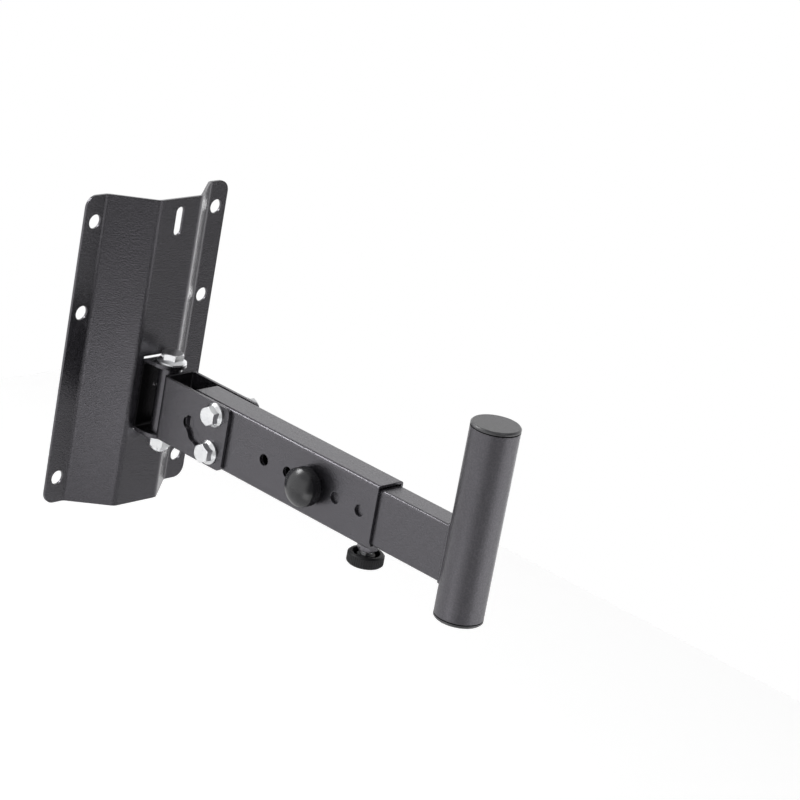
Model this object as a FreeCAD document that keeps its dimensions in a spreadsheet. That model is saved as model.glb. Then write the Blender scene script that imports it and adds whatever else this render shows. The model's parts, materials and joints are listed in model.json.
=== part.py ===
"""Wall bracket for a small speaker: folded plate, swivel, tilting telescopic arm and stub pole.

Frame: the origin is the centre of the four corner bolts on the wall's surface. +Z is up, +Y goes
into the wall, and the arm reaches out along -Y. Lengths are in millimetres, angles in degrees.
"""

import FreeCAD, Part
import Sketcher
import math
import os
import re

SIZES = {
    # Wall plate: two flat flanges on the wall and a raised middle.
    "plate_width": 140.0,
    "plate_height": 240.0,
    "plate_sheet": 2.0,
    "flange_fold": 51.0,
    "centre_margin": 7.0,
    "centre_rise": 24.0,
    "fold_radius": 6.0,
    "plate_corner": 9.0,
    "bolt_side_edge": 10.0,
    "bolt_end_edge": 20.0,
    "middle_up": 30.0,
    "wall_hole": 11.0,
    "slot_edge": 17.5,
    "slot_long": 22.0,
    "slot_wide": 7.5,
    # Hinge bracket: its web fills the plate's window and its ears carry the swivel bolt.
    "bracket_width": 28.0,
    "bracket_top": -1.7,
    "bracket_sheet": 3.0,
    "bracket_bend": 2.5,
    "window_gap": 0.5,
    "ear_margin": -1.0,
    "ear_corner": 13.5,
    "web_hole": 3.5,
    "web_hole_drop": 23.0,
    # Swivel: an M10 flange bolt, washer and locking nut.
    "swivel_reach": 15.0,
    "swivel_shank": 10.0,
    "swivel_flats": 15.0,
    "swivel_flange": 22.0,
    "swivel_head": 7.5,
    "swivel_hole_fit": 0.25,
    "washer_across": 20.0,
    "washer_sheet": 2.0,
    "swivel_nut_flats": 16.0,
    "swivel_nut_high": 8.0,
    "collar_high": 2.0,
    "collar_across": 14.5,
    "thread_fit": 0.05,
    "thread_end": 2.5,
    # Barrel that turns on the swivel bolt.
    "barrel_across": 17.0,
    "running_fit": 0.1,
    "end_gap": 0.3,
    # Tilt channel: folded round the arm's back end.
    "channel_sheet": 2.5,
    "channel_over": 0.5,
    "channel_gap": 2.4,
    "channel_lift": 0.6,
    "channel_bend": 2.0,
    "cheek_front": 14.0,
    "cheek_corner": 4.5,
    "side_gap": 0.3,
    "pivot_reach": 66.0,
    "pivot_drop": 9.0,
    "lock_edge": 10.5,
    "tilt_step": 19.2,
    "tilt_lobes": 4,
    "lobe_across": 11.0,
    "slot_fit": 0.3,
    # M8 flange bolts and nuts across the channel.
    "side_shank": 8.0,
    "side_flats": 13.0,
    "side_flange": 18.0,
    "side_head": 8.0,
    "side_nut_high": 8.0,
    "shaft_fit": 0.2,
    "rub_gap": 0.15,
    "flange_rim": 1.2,
    "flange_slope": 3.2,
    "corner_turn": 30.0,
    # Arm: outer tube with index holes, and the tube that slides in it.
    "tube_width": 25.0,
    "tube_high": 48.0,
    "tube_wall": 2.0,
    "tube_round": 2.5,
    "tube_bore_round": 0.8,
    "tube_back": 26.0,
    "tube_ahead": 162.0,
    "index_end": 14.0,
    "index_pitch": 24.0,
    "index_holes": 5,
    "inner_holes": 3,
    "index_across": 8.5,
    "inner_wall": 2.0,
    "inner_round": 2.0,
    "slide_gap": 0.3,
    "slide_height_gap": 0.8,
    "inner_back": 13.0,
    # Stub pole for the speaker's socket.
    "pole_out": 80.0,
    "pole_across": 35.0,
    "pole_wall": 2.0,
    "pole_above": 100.0,
    "pole_below": 44.0,
    "weld_gap": 0.05,
    "cap_sheet": 3.0,
    "cap_edge": 1.0,
    "plug_deep": 8.0,
    "plug_gap": 0.2,
    # Side screw with a round knob, drawn back so that the arm can slide.
    "lock_hole": 2,
    "stud_across": 8.0,
    "stud_tip_across": 7.0,
    "stud_tip_long": 3.0,
    "stud_tip_back": 0.1,
    "knob_across": 28.0,
    "knob_skirt": 8.0,
    "knob_dome": 6.5,
    "knob_stand": 4.3,
    "knob_bore_deep": 8.0,
    # Thumb screw under the outer tube's end.
    "thumb_end": 11.0,
    "thumb_across": 26.0,
    "thumb_high": 8.5,
    "thumb_rim": 3.0,
    "thumb_floor": 3.0,
    "thumb_hub": 13.0,
    "thumb_hub_high": 7.0,
    "thumb_bore_floor": 1.2,
    "thumb_gap": 2.0,
    "thumb_tip_gap": 0.3,
    "weld_nut_flats": 13.0,
    "weld_nut_high": 6.5,
    "chamfer": 1.0,
}

# Places that several pieces share, as formulas of the sizes. Reaches run forward from the
# swivel's axis, and heights up from the frame's origin.
CENTRE_FRONT = "(plate_sheet + centre_rise)"
CENTRE_FOLD = "(bracket_width / 2 + centre_margin)"
FOLD_SHIFT = "plate_sheet * tan(atan2(centre_rise; flange_fold - %s) / 2)" % CENTRE_FOLD
AXIS = "(plate_sheet + centre_rise + swivel_reach)"
CHANNEL_HIGH = "(tube_high + channel_over)"
BRACKET_HIGH = "(%s + channel_gap + channel_lift + 2 * bracket_sheet)" % CHANNEL_HIGH
BRACKET_BOTTOM = "(bracket_top - %s)" % BRACKET_HIGH
EAR_UNDER = "(bracket_top - bracket_sheet)"
ARM_TOP = "(%s - channel_gap)" % EAR_UNDER
ARM_MIDDLE = "(%s - tube_high / 2)" % ARM_TOP
PIVOT_UP = "(%s - pivot_drop)" % ARM_TOP
TILT_RADIUS = "(%s - pivot_drop - lock_edge)" % CHANNEL_HIGH
CHEEK_OUT = "(tube_width / 2 + side_gap + channel_sheet)"
SIDE_BORE = "side_shank + 2 * thread_fit"
TUBE_END = "(pivot_reach + tube_ahead)"
INDEX_FIRST = "(%s - index_end - (index_holes - 1) * index_pitch)" % TUBE_END
POLE_REACH = "(%s + pole_out)" % TUBE_END
INNER_HIGH = "(tube_high - 2 * tube_wall - 2 * slide_height_gap)"

START = 10.0  # rough size of a new outline, before its rules place it
NEAR = 0.01  # two places closer than this are the same

doc = FreeCAD.newDocument("SpeakerWallBracket")


def fill_sheet():
    sheet = doc.addObject("Spreadsheet::Sheet", "Sizes")
    for row, (name, value) in enumerate(SIZES.items(), start=1):
        sheet.set("A%d" % row, str(value))
        sheet.setAlias("A%d" % row, name)
    doc.recompute()


def bind(thing, path, formula):
    """Ties a property to the sheet, reading each size that the formula names."""

    def cell(word):
        return "Sizes." + word[0] if word[0] in SIZES else word[0]

    thing.setExpression(path, re.sub(r"[a-z_]+", cell, formula))


def new_body(label, turn_axis=None, turn=0.0, x=None, y=None, z=None):
    body = doc.addObject("PartDesign::Body", label)
    body.Label = label
    if turn_axis:
        spin = FreeCAD.Rotation(FreeCAD.Vector(*turn_axis), turn)
        body.Placement = FreeCAD.Placement(FreeCAD.Vector(), spin)
    for letter, formula in (("x", x), ("y", y), ("z", z)):
        if formula:
            bind(body, "Placement.Base." + letter, formula)
    return body


def new_sketch(body, role, across=None, up=None, out=None):
    """A sketch on one of the body's own planes, its origin moved within and off that plane."""
    sketch = body.newObject("Sketcher::SketchObject", body.Label + "_sketch")
    plane = next(part for part in body.Origin.OriginFeatures if part.Role == role)
    sketch.AttachmentSupport = [(plane, "")]
    sketch.MapMode = "FlatFace"
    for letter, formula in (("x", across), ("y", up), ("z", out)):
        if formula:
            bind(sketch, "AttachmentOffset.Base." + letter, formula)
    return sketch


def rule(sketch, formula, *parts):
    """Adds a measured rule to a sketch and ties its value to the sheet."""
    index = sketch.addConstraint(Sketcher.Constraint(*parts))
    bind(sketch, "Constraints[%d]" % index, formula)


def hold_point(sketch, curve, end, across, up):
    """Holds a curve's point at its place from the sketch's origin."""
    point = sketch.getPoint(curve, end)
    for kind, axis, now, formula in (
        ("DistanceX", -2, point.x, across),
        ("DistanceY", -1, point.y, up),
    ):
        if formula == "0":
            sketch.addConstraint(Sketcher.Constraint("PointOnObject", curve, end, axis))
        else:
            rule(sketch, formula, kind, -1, 1, curve, end, now)


def outline(sketch, corners):
    """A closed outline of straight lines through corners given as pairs of formulas."""
    count = len(corners)
    first = sketch.GeometryCount
    turns = [2 * math.pi * (k + 0.3) / count for k in range(count)]
    ring = [FreeCAD.Vector(START * math.cos(a), START * math.sin(a), 0) for a in turns]
    for k in range(count):
        sketch.addGeometry(Part.LineSegment(ring[k], ring[(k + 1) % count]), False)
    for k in range(count):
        follows = first + (k + 1) % count
        sketch.addConstraint(Sketcher.Constraint("Coincident", first + k, 2, follows, 1))
    for k, (across, up) in enumerate(corners):
        hold_point(sketch, first + k, 1, across, up)


def rectangle(sketch, half_width, low, high):
    outline(
        sketch,
        [
            ("-" + half_width, low),
            (half_width, low),
            (half_width, high),
            ("-" + half_width, high),
        ],
    )


def circle(sketch, across_formula, across="0", up="0"):
    centre = FreeCAD.Vector(1, 1, 0)
    index = sketch.addGeometry(Part.Circle(centre, FreeCAD.Vector(0, 0, 1), 1), False)
    hold_point(sketch, index, 3, across, up)
    rule(sketch, across_formula, "Diameter", index, 2.0)


def hexagon(sketch, flats):
    tip = flats + " / sqrt(3)"
    half_tip = flats + " / sqrt(3) / 2"
    half = flats + " / 2"
    outline(
        sketch,
        [
            (tip, "0"),
            (half_tip, half),
            ("-" + half_tip, half),
            ("-" + tip, "0"),
            ("-" + half_tip, "-" + half),
            (half_tip, "-" + half),
        ],
    )


def feature(body, kind, sketch):
    made = body.newObject("PartDesign::" + kind, body.Label + "_" + kind.lower())
    made.Profile = sketch
    sketch.Visibility = False
    return made


def pad(body, sketch, length, both_ways=False):
    made = feature(body, "Pad", sketch)
    bind(made, "Length", length)
    made.Midplane = both_ways
    doc.recompute()
    return made


def cut_must_bite(body, made, before):
    doc.recompute()
    if made.Shape.Volume > before - NEAR:
        raise ValueError(body.Label + ": a cut takes nothing away")
    return made


def pocket(body, sketch, both_ways=True):
    before = body.Tip.Shape.Volume
    made = feature(body, "Pocket", sketch)
    made.Type = "ThroughAll"
    made.Midplane = both_ways
    return cut_must_bite(body, made, before)


def revolve(body, sketch):
    made = feature(body, "Revolution", sketch)
    made.ReferenceAxis = (sketch, ["V_Axis"])
    doc.recompute()
    return made


def groove(body, sketch):
    before = body.Tip.Shape.Volume
    made = feature(body, "Groove", sketch)
    made.ReferenceAxis = (sketch, ["V_Axis"])
    return cut_must_bite(body, made, before)


def repeat(body, kind, cut, direction, count, reach, backwards=False):
    """A row or ring of copies of a cut."""
    before = body.Tip.Shape.Volume
    made = body.newObject("PartDesign::" + kind, body.Label + "_pattern")
    made.Originals = [cut]
    axis, measure = ("Axis", "Angle") if kind == "PolarPattern" else ("Direction", "Length")
    setattr(made, axis, direction)
    made.Reversed = backwards
    bind(made, measure, reach)
    bind(made, "Occurrences", count)
    body.Tip = made
    return cut_must_bite(body, made, before)


def round_edges(body, radius, letter, wanted):
    """Rounds the sharp straight edges along an axis whose middle is wanted(middle, box)."""
    base = body.Tip
    shape = base.Shape
    names = []
    for number, edge in enumerate(shape.Edges, start=1):
        faces = shape.ancestorsOfType(edge, Part.Face)
        flat = all(isinstance(face.Surface, Part.Plane) for face in faces)
        run = edge.Vertexes[-1].Point - edge.Vertexes[0].Point
        straight = isinstance(edge.Curve, Part.Line) and abs(getattr(run, letter)) > run.Length - NEAR
        if flat and straight and wanted(edge.CenterOfMass, shape.BoundBox):
            names.append("Edge%d" % number)
    if not names:
        raise ValueError(body.Label + ": no edge to round")
    made = body.newObject("PartDesign::Fillet", body.Label + "_fillet")
    made.Base = (base, names)
    bind(made, "Radius", radius)
    doc.recompute()
    return made


def at_end(value, low, high):
    return abs(value - low) < NEAR or abs(value - high) < NEAR


def wall_plate():
    """One sheet with four folds, holes for the wall's bolts, a slot and the bracket's window."""
    body = new_body("wall_plate")
    sketch = new_sketch(body, "XY_Plane")
    back = [
        ("plate_width / 2", "0"),
        ("flange_fold - " + FOLD_SHIFT, "0"),
        (CENTRE_FOLD + " - " + FOLD_SHIFT, "-centre_rise"),
    ]
    front = [
        (CENTRE_FOLD, "-" + CENTRE_FRONT),
        ("flange_fold", "-plate_sheet"),
        ("plate_width / 2", "-plate_sheet"),
    ]
    left_back = [("-(%s)" % across, up) for across, up in reversed(back)]
    left_front = [("-(%s)" % across, up) for across, up in reversed(front)]
    outline(sketch, back + left_back + left_front + front)
    pad(body, sketch, "plate_height", both_ways=True)

    def outer_fold(middle, box):
        inside = not at_end(middle.x, box.XMin, box.XMax)
        return inside and at_end(middle.y, box.YMin, box.YMax)

    def inner_fold(middle, box):
        inside = not at_end(middle.x, box.XMin, box.XMax)
        return inside and not at_end(middle.y, box.YMin, box.YMax)

    def corner(middle, box):
        return at_end(middle.x, box.XMin, box.XMax) and at_end(middle.z, box.ZMin, box.ZMax)

    round_edges(body, "fold_radius + plate_sheet", "z", outer_fold)
    round_edges(body, "fold_radius", "z", inner_fold)
    round_edges(body, "plate_corner", "y", corner)
    sketch = new_sketch(body, "XZ_Plane")
    bolt_across = "(plate_width / 2 - bolt_side_edge)"
    bolt_up = "(plate_height / 2 - bolt_end_edge)"
    for side in ("", "-"):
        for up in (bolt_up, "-" + bolt_up, "middle_up"):
            circle(sketch, "wall_hole", side + bolt_across, up)
    pocket(body, sketch)
    sketch = new_sketch(body, "XZ_Plane", up="plate_height / 2 - slot_edge")
    upright_slot(sketch, "slot_long", "slot_wide")
    pocket(body, sketch)
    sketch = new_sketch(body, "XZ_Plane")
    rectangle(sketch, "bracket_width / 2", BRACKET_BOTTOM + " - window_gap", "bracket_top + window_gap")
    pocket(body, sketch)
    return body


def upright_slot(sketch, long, wide):
    """A slot with round ends about the sketch's origin: two half circles and two lines."""
    out = FreeCAD.Vector(0, 0, 1)
    top = Part.ArcOfCircle(Part.Circle(FreeCAD.Vector(0, START, 0), out, 1), 0, math.pi)
    bottom = Part.ArcOfCircle(Part.Circle(FreeCAD.Vector(0, -START, 0), out, 1), math.pi, 2 * math.pi)
    left = Part.LineSegment(FreeCAD.Vector(-1, START, 0), FreeCAD.Vector(-1, -START, 0))
    right = Part.LineSegment(FreeCAD.Vector(1, -START, 0), FreeCAD.Vector(1, START, 0))
    upper, side_left, lower, side_right = sketch.addGeometry([top, left, bottom, right], False)
    ring = (upper, side_left, lower, side_right)
    for k in range(4):
        sketch.addConstraint(Sketcher.Constraint("Tangent", ring[k], 2, ring[(k + 1) % 4], 1))
    hold_point(sketch, upper, 3, "0", "(%s - %s) / 2" % (long, wide))
    hold_point(sketch, lower, 3, "0", "-(%s - %s) / 2" % (long, wide))
    rule(sketch, wide + " / 2", "Radius", upper, 1.0)
    sketch.addConstraint(Sketcher.Constraint("Vertical", side_left))


def hinge_bracket():
    """A U of thick sheet: the web lies in the window and the ears reach past the swivel bolt."""
    body = new_body("hinge_bracket")
    sketch = new_sketch(body, "YZ_Plane")
    ear_front = "-(%s + swivel_flange / 2 + ear_margin)" % AXIS
    web_front = "-(centre_rise + bracket_sheet)"
    top_in = EAR_UNDER
    bottom_in = BRACKET_BOTTOM + " + bracket_sheet"
    outline(
        sketch,
        [
            ("-centre_rise", BRACKET_BOTTOM),
            ("-centre_rise", "bracket_top"),
            (ear_front, "bracket_top"),
            (ear_front, top_in),
            (web_front, top_in),
            (web_front, bottom_in),
            (ear_front, bottom_in),
            (ear_front, BRACKET_BOTTOM),
        ],
    )
    pad(body, sketch, "bracket_width", both_ways=True)

    def outer_bend(middle, box):
        return at_end(middle.y, box.YMax, box.YMax)

    def inner_bend(middle, box):
        inside = not at_end(middle.z, box.ZMin, box.ZMax)
        return inside and not at_end(middle.y, box.YMin, box.YMax)

    def ear_front_corner(middle, box):
        return at_end(middle.y, box.YMin, box.YMin)

    round_edges(body, "bracket_bend + bracket_sheet", "x", outer_bend)
    round_edges(body, "bracket_bend", "x", inner_bend)
    round_edges(body, "ear_corner", "z", ear_front_corner)
    sketch = new_sketch(body, "XY_Plane", up="-" + AXIS)
    circle(sketch, "swivel_shank + 2 * swivel_hole_fit")
    pocket(body, sketch)
    sketch = new_sketch(body, "XZ_Plane", up="bracket_top - web_hole_drop")
    circle(sketch, "web_hole")
    pocket(body, sketch)
    return body


def hex_block(body, flats, high, low=None):
    """A hexagonal block, with its top corners turned off."""
    sketch = new_sketch(body, "XY_Plane", out=low)
    hexagon(sketch, flats)
    pad(body, sketch, "(%s) - %s" % (high, low) if low else high)
    sketch = new_sketch(body, "XZ_Plane")
    clear = flats + " / sqrt(3) + chamfer"
    drop = "%s - (%s - %s / 2) * tan(corner_turn)" % (high, clear, flats)
    outline(sketch, [(flats + " / 2", high), (clear, high), (clear, drop)])
    groove(body, sketch)


def flange_bolt(label, length, shank, flats, head, flange, **place):
    """A flange bolt along its own Z: the seat at 0, the head above and the shank below."""
    body = new_body(label, **place)
    sketch = new_sketch(body, "XZ_Plane")
    tip = "-(%s)" % length
    outline(
        sketch,
        [
            ("0", tip),
            (shank + " / 2 - chamfer", tip),
            (shank + " / 2", tip + " + chamfer"),
            (shank + " / 2", "0"),
            (flange + " / 2", "0"),
            (flange + " / 2", "flange_rim"),
            (flats + " / 2", "flange_slope"),
            ("0", "flange_slope"),
        ],
    )
    revolve(body, sketch)
    hex_block(body, flats, head, low="flange_rim")
    return body


def flange_nut(label, bore, flats, high, flange, **place):
    """A flange nut along its own Z, the seat at 0."""
    body = new_body(label, **place)
    sketch = new_sketch(body, "XZ_Plane")
    outline(
        sketch,
        [
            ("0", "0"),
            (flange + " / 2", "0"),
            (flange + " / 2", "flange_rim"),
            (flats + " / 2", "flange_slope"),
            ("0", "flange_slope"),
        ],
    )
    revolve(body, sketch)
    hex_block(body, flats, high, low="flange_rim")
    sketch = new_sketch(body, "XY_Plane")
    circle(sketch, bore)
    pocket(body, sketch)
    return body


def swivel_parts():
    """The swivel's bolt through both ears, with the washer and the locking nut below."""
    y = "-" + AXIS
    flange_bolt(
        "swivel_bolt",
        BRACKET_HIGH + " + washer_sheet + swivel_nut_high + thread_end",
        "swivel_shank",
        "swivel_flats",
        "swivel_head",
        "swivel_flange",
        y=y,
        z="bracket_top",
    )
    washer = new_body("swivel_washer", y=y, z=BRACKET_BOTTOM + " - washer_sheet")
    sketch = new_sketch(washer, "XY_Plane")
    circle(sketch, "washer_across")
    circle(sketch, "swivel_shank + 2 * swivel_hole_fit")
    pad(washer, sketch, "washer_sheet")
    nut = new_body(
        "swivel_nut",
        turn_axis=(1, 0, 0),
        turn=180,
        y=y,
        z=BRACKET_BOTTOM + " - washer_sheet",
    )
    sketch = new_sketch(nut, "XY_Plane")
    circle(sketch, "collar_across")
    pad(nut, sketch, "swivel_nut_high")
    hex_block(nut, "swivel_nut_flats", "(swivel_nut_high - collar_high)")
    sketch = new_sketch(nut, "XY_Plane")
    circle(sketch, "swivel_shank + 2 * thread_fit")
    pocket(nut, sketch)


def pivot_barrel():
    """The tube that turns on the swivel bolt, with a gap at each ear."""
    body = new_body("pivot_barrel", y="-" + AXIS, z=BRACKET_BOTTOM + " + bracket_sheet + end_gap")
    sketch = new_sketch(body, "XY_Plane")
    circle(sketch, "barrel_across")
    circle(sketch, "swivel_shank + 2 * running_fit")
    pad(body, sketch, BRACKET_HIGH + " - 2 * bracket_sheet - 2 * end_gap")


def tilt_channel():
    """One folded sheet: a web on the barrel and two cheeks with the pivot hole and tilt slot."""
    body = new_body("tilt_channel", y="-" + AXIS, z=PIVOT_UP)
    bottom = "pivot_drop - " + CHANNEL_HIGH
    sketch = new_sketch(body, "XY_Plane", out=bottom)
    inside = "(tube_width / 2 + side_gap)"
    cheek_end = "-(pivot_reach + cheek_front)"
    web_front = "-(barrel_across / 2 + channel_sheet)"
    half = [
        (CHEEK_OUT, "-barrel_across / 2"),
        (CHEEK_OUT, cheek_end),
        (inside, cheek_end),
        (inside, web_front),
    ]
    outline(sketch, half + [("-" + across, up) for across, up in reversed(half)])
    pad(body, sketch, CHANNEL_HIGH)

    def outer_bend(middle, box):
        return at_end(middle.y, box.YMax, box.YMax)

    def inner_bend(middle, box):
        inside_box = not at_end(middle.x, box.XMin, box.XMax)
        return inside_box and not at_end(middle.y, box.YMin, box.YMax)

    def cheek_front(middle, box):
        return at_end(middle.y, box.YMin, box.YMin)

    round_edges(body, "channel_bend + channel_sheet", "z", outer_bend)
    round_edges(body, "channel_bend", "z", inner_bend)
    round_edges(body, "cheek_corner", "x", cheek_front)
    sketch = new_sketch(body, "YZ_Plane", across="-pivot_reach")
    circle(sketch, SIDE_BORE)
    pocket(body, sketch)
    lobe = new_sketch(body, "YZ_Plane", across="-pivot_reach")
    circle(lobe, "lobe_across", "0", "-" + TILT_RADIUS)
    cut = pocket(body, lobe)
    repeat(
        body,
        "PolarPattern",
        cut,
        (lobe, ["N_Axis"]),
        "tilt_lobes",
        "tilt_step * (tilt_lobes - 1)",
    )
    sketch = new_sketch(body, "YZ_Plane", across="-pivot_reach")
    arc_slot(
        sketch,
        TILT_RADIUS + " - side_shank / 2 - slot_fit",
        TILT_RADIUS + " + side_shank / 2 + slot_fit",
        "tilt_step * (tilt_lobes - 1)",
    )
    pocket(body, sketch)
    return body


def arc_slot(sketch, inner, outer, sweep):
    """A slot bent about the sketch's origin, from straight down round to a given angle."""
    out = FreeCAD.Vector(0, 0, 1)
    centre = FreeCAD.Vector(0, 0, 0)
    low = -math.pi / 2
    high = low + 1
    near = Part.ArcOfCircle(Part.Circle(centre, out, START), low, high)
    far = Part.ArcOfCircle(Part.Circle(centre, out, 2 * START), low, high)
    first = Part.LineSegment(near.StartPoint, far.StartPoint)
    last = Part.LineSegment(near.EndPoint, far.EndPoint)
    inside, outside, down, slant = sketch.addGeometry([near, far, first, last], False)
    for arc in (inside, outside):
        sketch.addConstraint(Sketcher.Constraint("Coincident", arc, 3, -1, 1))
    for line, end in ((down, 1), (slant, 2)):
        sketch.addConstraint(Sketcher.Constraint("Coincident", inside, end, line, 1))
        sketch.addConstraint(Sketcher.Constraint("Coincident", outside, end, line, 2))
    sketch.addConstraint(Sketcher.Constraint("PointOnObject", inside, 1, -2))
    sketch.addConstraint(Sketcher.Constraint("PointOnObject", outside, 1, -2))
    sketch.addConstraint(Sketcher.Constraint("PointOnObject", -1, 1, slant))
    rule(sketch, inner, "Radius", inside, START)
    rule(sketch, outer, "Radius", outside, 2 * START)
    rule(sketch, sweep, "Angle", down, 1, slant, 1, 1.0)


def tilt_parts():
    """Two bolts across the channel: the pivot, and the lock that rides in the tilt slot."""
    y = "-(%s + pivot_reach)" % AXIS
    for name, up, seat in (
        ("tilt_pivot", PIVOT_UP, CHEEK_OUT),
        ("tilt_lock", PIVOT_UP + " - " + TILT_RADIUS, "(%s + rub_gap)" % CHEEK_OUT),
    ):
        flange_bolt(
            name + "_bolt",
            "2 * %s + side_nut_high + thread_end" % seat,
            "side_shank",
            "side_flats",
            "side_head",
            "side_flange",
            turn_axis=(0, 1, 0),
            turn=-90,
            x="-" + seat,
            y=y,
            z=up,
        )
        flange_nut(
            name + "_nut",
            SIDE_BORE,
            "side_flats",
            "side_nut_high",
            "side_flange",
            turn_axis=(0, 1, 0),
            turn=90,
            x=seat,
            y=y,
            z=up,
        )


def square_tube(body, width, high, wall, round_out, round_in, start, end):
    """A rectangular tube along -Y with rounded corners, about the body's own Y axis."""
    sketch = new_sketch(body, "XZ_Plane", out=start)
    rectangle(sketch, "(%s) / 2" % width, "-(%s) / 2" % high, "(%s) / 2" % high)
    rectangle(
        sketch,
        "((%s) / 2 - %s)" % (width, wall),
        "-((%s) / 2 - %s)" % (high, wall),
        "(%s) / 2 - %s" % (high, wall),
    )
    pad(body, sketch, "(%s) - (%s)" % (end, start))

    def outside(middle, box):
        return at_end(middle.x, box.XMin, box.XMax)

    def inside(middle, box):
        return not at_end(middle.x, box.XMin, box.XMax)

    round_edges(body, round_out, "y", outside)
    round_edges(body, round_in, "y", inside)


def index_row(body, count):
    """The row of index holes through the left wall."""
    sketch = new_sketch(body, "YZ_Plane")
    circle(sketch, "index_across", "-" + INDEX_FIRST)
    cut = pocket(body, sketch, both_ways=False)
    repeat(
        body,
        "LinearPattern",
        cut,
        (sketch, ["H_Axis"]),
        count,
        "index_pitch * (%s - 1)" % count,
        backwards=True,
    )


def outer_tube():
    body = new_body("outer_tube", y="-" + AXIS, z=ARM_MIDDLE)
    square_tube(
        body,
        "tube_width",
        "tube_high",
        "tube_wall",
        "tube_round",
        "tube_bore_round",
        "(pivot_reach - tube_back)",
        TUBE_END,
    )
    index_row(body, "index_holes")
    pivot_up = "(tube_high / 2 - pivot_drop)"
    sketch = new_sketch(body, "YZ_Plane", across="-pivot_reach")
    circle(sketch, "side_shank + 2 * shaft_fit", "0", pivot_up)
    circle(sketch, SIDE_BORE, "0", pivot_up + " - " + TILT_RADIUS)
    pocket(body, sketch)
    sketch = new_sketch(body, "XY_Plane")
    circle(sketch, "index_across", "0", "thumb_end - " + TUBE_END)
    pocket(body, sketch, both_ways=False)


def inner_tube():
    """The sliding tube, its front end cut to fit round the pole."""
    body = new_body("inner_tube", y="-" + AXIS, z=ARM_MIDDLE)
    square_tube(
        body,
        "tube_width - 2 * tube_wall - 2 * slide_gap",
        INNER_HIGH,
        "inner_wall",
        "inner_round",
        "tube_bore_round",
        INDEX_FIRST + " - inner_back",
        POLE_REACH,
    )
    index_row(body, "inner_holes")
    sketch = new_sketch(body, "XY_Plane")
    circle(sketch, "pole_across + 2 * weld_gap", "0", "-" + POLE_REACH)
    pocket(body, sketch)


def pole_parts():
    """The stub pole and the plug caps in its ends."""
    y = "-(%s + %s)" % (AXIS, POLE_REACH)
    body = new_body("pole_tube", y=y, z=ARM_MIDDLE + " - pole_below + cap_sheet")
    sketch = new_sketch(body, "XY_Plane")
    circle(sketch, "pole_across")
    circle(sketch, "pole_across - 2 * pole_wall")
    pad(body, sketch, "pole_above + pole_below - 2 * cap_sheet")
    plug = "pole_across / 2 - pole_wall - plug_gap"
    for name, turn, up in (
        ("pole_top_cap", 0, ARM_MIDDLE + " + pole_above - cap_sheet"),
        ("pole_bottom_cap", 180, ARM_MIDDLE + " - pole_below + cap_sheet"),
    ):
        cap = new_body(name, turn_axis=(1, 0, 0), turn=turn, y=y, z=up)
        sketch = new_sketch(cap, "XZ_Plane")
        outline(
            sketch,
            [
                ("0", "-plug_deep"),
                (plug + " - cap_edge", "-plug_deep"),
                (plug, "cap_edge - plug_deep"),
                (plug, "0"),
                ("pole_across / 2", "0"),
                ("pole_across / 2", "cap_sheet - cap_edge"),
                ("pole_across / 2 - cap_edge", "cap_sheet"),
                ("0", "cap_sheet"),
            ],
        )
        revolve(cap, sketch)


def lock_screw():
    """The side screw: a stud with a plain tip and a domed knob, along -X."""
    y = "-(%s + %s + lock_hole * index_pitch)" % (AXIS, INDEX_FIRST)
    wall_in = "tube_width / 2 - tube_wall + stud_tip_back"
    knob_back = "tube_width / 2 + knob_stand"
    stud = new_body(
        "lock_stud", turn_axis=(0, 1, 0), turn=-90, x="-(%s)" % wall_in, y=y, z=ARM_MIDDLE
    )
    length = "(%s + knob_bore_deep - %s - end_gap)" % (knob_back, "(" + wall_in + ")")
    sketch = new_sketch(stud, "XZ_Plane")
    outline(
        sketch,
        [
            ("0", "0"),
            ("stud_tip_across / 2 - chamfer / 2", "0"),
            ("stud_tip_across / 2", "chamfer / 2"),
            ("stud_tip_across / 2", "stud_tip_long"),
            ("stud_across / 2", "stud_tip_long + (stud_across - stud_tip_across) / 2"),
            ("stud_across / 2", length),
            ("0", length),
        ],
    )
    revolve(stud, sketch)
    knob = new_body(
        "lock_knob", turn_axis=(0, 1, 0), turn=-90, x="-(%s)" % knob_back, y=y, z=ARM_MIDDLE
    )
    sketch = new_sketch(knob, "XZ_Plane")
    dome_profile(sketch)
    revolve(knob, sketch)
    sketch = new_sketch(knob, "XZ_Plane")
    bore = "stud_across / 2 + running_fit"
    outline(sketch, [("0", "0"), (bore, "0"), (bore, "knob_bore_deep"), ("0", "knob_bore_deep")])
    groove(knob, sketch)


def dome_profile(sketch):
    """Half of the knob's section: a straight skirt under a dome whose centre is on the axis."""
    corners = [(0, 0), (START, 0), (START, START / 2), (0, START)]
    flat, skirt, axis = [
        sketch.addGeometry(
            Part.LineSegment(FreeCAD.Vector(*corners[a], 0), FreeCAD.Vector(*corners[b], 0)), False
        )
        for a, b in ((0, 1), (1, 2), (3, 0))
    ]
    shape = Part.Arc(
        FreeCAD.Vector(*corners[2], 0),
        FreeCAD.Vector(0.6 * START, 0.85 * START, 0),
        FreeCAD.Vector(*corners[3], 0),
    )
    dome = sketch.addGeometry(shape, False)
    for a, a_end, b, b_end in (
        (flat, 2, skirt, 1),
        (skirt, 2, dome, 1),
        (dome, 2, axis, 1),
        (axis, 2, flat, 1),
    ):
        sketch.addConstraint(Sketcher.Constraint("Coincident", a, a_end, b, b_end))
    sketch.addConstraint(Sketcher.Constraint("PointOnObject", dome, 3, -2))
    hold_point(sketch, flat, 1, "0", "0")
    hold_point(sketch, skirt, 1, "knob_across / 2", "0")
    hold_point(sketch, skirt, 2, "knob_across / 2", "knob_skirt")
    hold_point(sketch, axis, 1, "0", "knob_skirt + knob_dome")


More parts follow.
